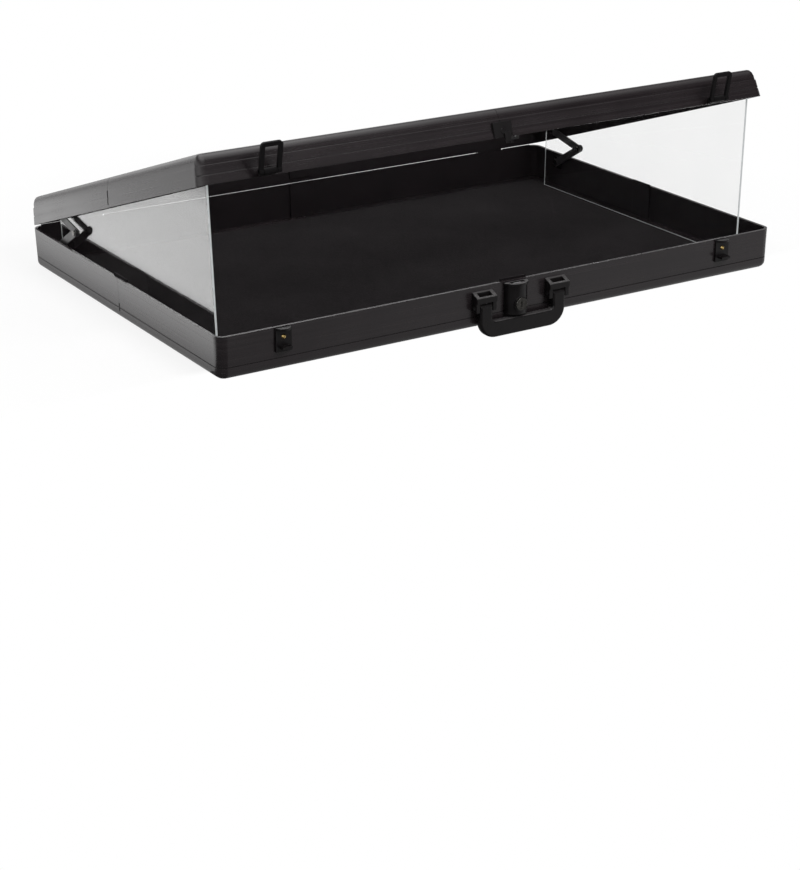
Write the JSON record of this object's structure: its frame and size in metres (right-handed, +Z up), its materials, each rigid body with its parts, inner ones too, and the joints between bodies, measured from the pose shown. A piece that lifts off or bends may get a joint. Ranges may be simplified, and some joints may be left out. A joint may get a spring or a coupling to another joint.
{
  "type": "card display case",
  "caption": "Shallow black tray with a hinged glazed lid propped open on clear side panels, with folding stays, bail latches, key lock and carrying handle.",
  "frame": {"origin": "centre of the underside, on the face that the case stands on", "axes": "+X to the right seen from the handle side, -Y towards the handle, +Z up"},
  "size_m": [0.864, 0.5961, 0.2966],
  "materials": {
    "case_plastic": "fine moulded grain, satin black",
    "bottom_board": "coarse matt black board",
    "felt": "short-pile black felt",
    "clear_acrylic": "polished clear acrylic",
    "hardware_plastic": "smooth semi-gloss black",
    "brass": "bright brass plate",
    "stay_steel": "black-coated flat steel",
    "bright_steel": "zinc-plated steel"
  },
  "bodies": {
    "base": {"base_corner_front_left": "case_plastic", "base_corner_front_right": "case_plastic", "base_corner_rear_left": "case_plastic", "base_corner_rear_right": "case_plastic", "base_joiner_front": "case_plastic", "base_joiner_rear": "case_plastic", "base_joiner_left": "case_plastic", "base_joiner_right": "case_plastic", "bottom_panel": "bottom_board", "felt_lining": "felt", "hinge_base_leaf_left": "hardware_plastic", "hinge_base_leaf_right": "hardware_plastic", "hinge_pin_left": "bright_steel", "hinge_pin_right": "bright_steel", "hinge_rivet_left": "brass", "hinge_rivet_right": "brass", "catch_rivet_left": "brass", "catch_rivet_right": "brass", "latch_catch_left": "hardware_plastic", "latch_catch_right": "hardware_plastic", "handle_bracket_left": "hardware_plastic", "handle_bracket_right": "hardware_plastic", "handle_pin_left": "bright_steel", "handle_pin_right": "bright_steel", "lock_housing": "hardware_plastic", "stay_base_pivot_left": "bright_steel", "stay_base_pivot_right": "bright_steel"},
    "lid": {"lid_corner_front_left": "case_plastic", "lid_corner_front_right": "case_plastic", "lid_corner_rear_left": "case_plastic", "lid_corner_rear_right": "case_plastic", "lid_joiner_front": "case_plastic", "lid_joiner_rear": "case_plastic", "lid_joiner_left": "case_plastic", "lid_joiner_right": "case_plastic", "lid_pane": "clear_acrylic", "hinge_lid_leaf_left": "hardware_plastic", "hinge_lid_leaf_right": "hardware_plastic", "latch_bracket_left": "hardware_plastic", "latch_bracket_right": "hardware_plastic", "lock_strike": "hardware_plastic", "stay_lid_pivot_left": "bright_steel", "stay_lid_pivot_right": "bright_steel", "lid_screw_left": "bright_steel", "lid_screw_right": "bright_steel", "pane_clip_left": "bright_steel", "pane_clip_right": "bright_steel"},
    "carry_handle": {"carry_handle": "hardware_plastic"},
    "lock_cylinder": {"lock_cylinder": "brass"},
    "lock_bolt": {"lock_bolt": "bright_steel"},
    "side_panel_left": {"side_panel_left": "clear_acrylic"},
    "latch_bail_left": {"latch_bail_left": "hardware_plastic"},
    "stay_lower_left": {"stay_lower_link_left": "stay_steel", "stay_elbow_rivet_left": "bright_steel"},
    "stay_upper_left": {"stay_upper_link_left": "stay_steel"},
    "side_panel_right": {"side_panel_right": "clear_acrylic"},
    "latch_bail_right": {"latch_bail_right": "hardware_plastic"},
    "stay_lower_right": {"stay_lower_link_right": "stay_steel", "stay_elbow_rivet_right": "bright_steel"},
    "stay_upper_right": {"stay_upper_link_right": "stay_steel"}
  },
  "joints": [
    {"name": "lid_hinge", "type": "hinge", "parent": "base", "child": "lid", "pos_m": [0, 0.2884, 0.05625], "axis": [-1, 0, 0], "range_deg": [0, 71]},
    {"name": "stay_lower_pivot_left", "type": "hinge", "parent": "base", "child": "stay_lower_left", "pos_m": [-0.4235, 0.21628, 0.04158], "axis": [-1, 0, 0], "range_deg": [0, 71]},
    {"name": "stay_upper_pivot_left", "type": "hinge", "parent": "lid", "child": "stay_upper_left", "pos_m": [-0.4201, 0.2246, 0.09294], "axis": [-1, 0, 0], "range_deg": [-71, 0]},
    {"name": "latch_bail_pivot_left", "type": "hinge", "parent": "lid", "child": "latch_bail_left", "pos_m": [-0.343, -0.26541, 0.24601], "axis": [1, 0, 0], "range_deg": [-30, 150]},
    {"name": "side_panel_tip_left", "type": "hinge", "parent": "base", "child": "side_panel_left", "pos_m": [-0.409, 0, 0.0073], "axis": [0, 1, 0], "range_deg": [0, 91]},
    {"name": "stay_lower_pivot_right", "type": "hinge", "parent": "base", "child": "stay_lower_right", "pos_m": [0.4235, 0.21628, 0.04158], "axis": [-1, 0, 0], "range_deg": [0, 71]},
    {"name": "stay_upper_pivot_right", "type": "hinge", "parent": "lid", "child": "stay_upper_right", "pos_m": [0.4201, 0.2246, 0.09294], "axis": [-1, 0, 0], "range_deg": [-71, 0]},
    {"name": "latch_bail_pivot_right", "type": "hinge", "parent": "lid", "child": "latch_bail_right", "pos_m": [0.343, -0.26541, 0.24601], "axis": [1, 0, 0], "range_deg": [-30, 150]},
    {"name": "side_panel_tip_right", "type": "hinge", "parent": "base", "child": "side_panel_right", "pos_m": [0.409, 0, 0.0073], "axis": [0, -1, 0], "range_deg": [0, 91]},
    {"name": "handle_pivot", "type": "hinge", "parent": "base", "child": "carry_handle", "pos_m": [0.006, -0.292, 0.03], "axis": [-1, 0, 0], "range_deg": [0, 90]},
    {"name": "lock_turn", "type": "hinge", "parent": "base", "child": "lock_cylinder", "pos_m": [0, -0.2965, 0.027], "axis": [0, 1, 0], "range_deg": [0, 90]},
    {"name": "lock_bolt_slide", "type": "slide", "parent": "base", "child": "lock_bolt", "axis": [1, 0, 0], "range_m": [0, 0.00566]}
  ],
  "couplings": [
    {"joint": "stay_lower_pivot_left", "follows": "lid_hinge", "ratio": 1},
    {"joint": "stay_upper_pivot_left", "follows": "lid_hinge", "ratio": -1},
    {"joint": "stay_lower_pivot_right", "follows": "lid_hinge", "ratio": 1},
    {"joint": "stay_upper_pivot_right", "follows": "lid_hinge", "ratio": -1},
    {"joint": "lock_bolt_slide", "follows": "lock_turn", "m_per_rad": 0.0036}
  ]
}
